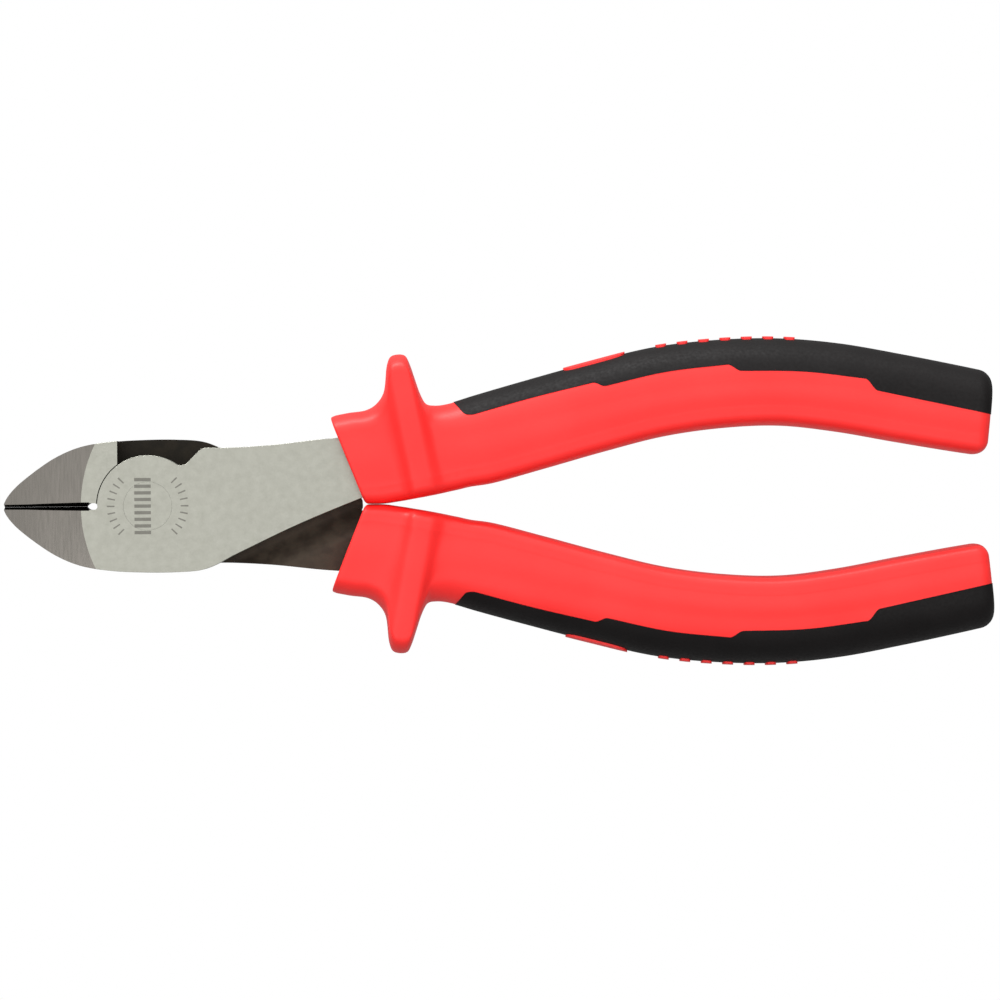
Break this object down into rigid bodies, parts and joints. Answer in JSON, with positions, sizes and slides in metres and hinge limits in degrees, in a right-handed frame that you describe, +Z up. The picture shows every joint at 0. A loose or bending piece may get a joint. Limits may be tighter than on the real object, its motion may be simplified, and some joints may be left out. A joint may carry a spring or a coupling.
{
  "type": "diagonal cutting pliers",
  "caption": "Lap-jointed diagonal cutting pliers with ground bevelled jaws and moulded two-material handles with finger guards.",
  "frame": {"origin": "under the middle of the closed pliers as they lie flat, on the surface they lie on", "axes": "+X from the jaw tips to the handle ends, +Y towards the upper handle, +Z up along the pivot, out of the front face"},
  "size_m": [0.1797, 0.0588, 0.0208],
  "materials": {
    "ground_steel": "flat ground with a fine grain, jaw bevels ground more coarsely",
    "forged_steel": "ground outside, dark phosphated forging skin in the lap",
    "rivet_steel": "ground flush with the joint's faces",
    "red_plastic": "hard moulded plastic, satin",
    "black_rubber": "soft thermoplastic elastomer, matte"
  },
  "bodies": {
    "front_half": {"front_lever": "ground_steel", "pivot_rivet": "rivet_steel", "upper_grip_shell": "red_plastic", "upper_grip_overlay": "black_rubber"},
    "rear_half": {"rear_lever": "forged_steel", "lower_grip_shell": "red_plastic", "lower_grip_overlay": "black_rubber"}
  },
  "joints": [
    {"name": "jaw_pivot", "type": "hinge", "parent": "front_half", "child": "rear_half", "pos_m": [-0.0636, 0, 0.0104], "axis": [0, 0, -1], "range_deg": [0, 66]}
  ]
}
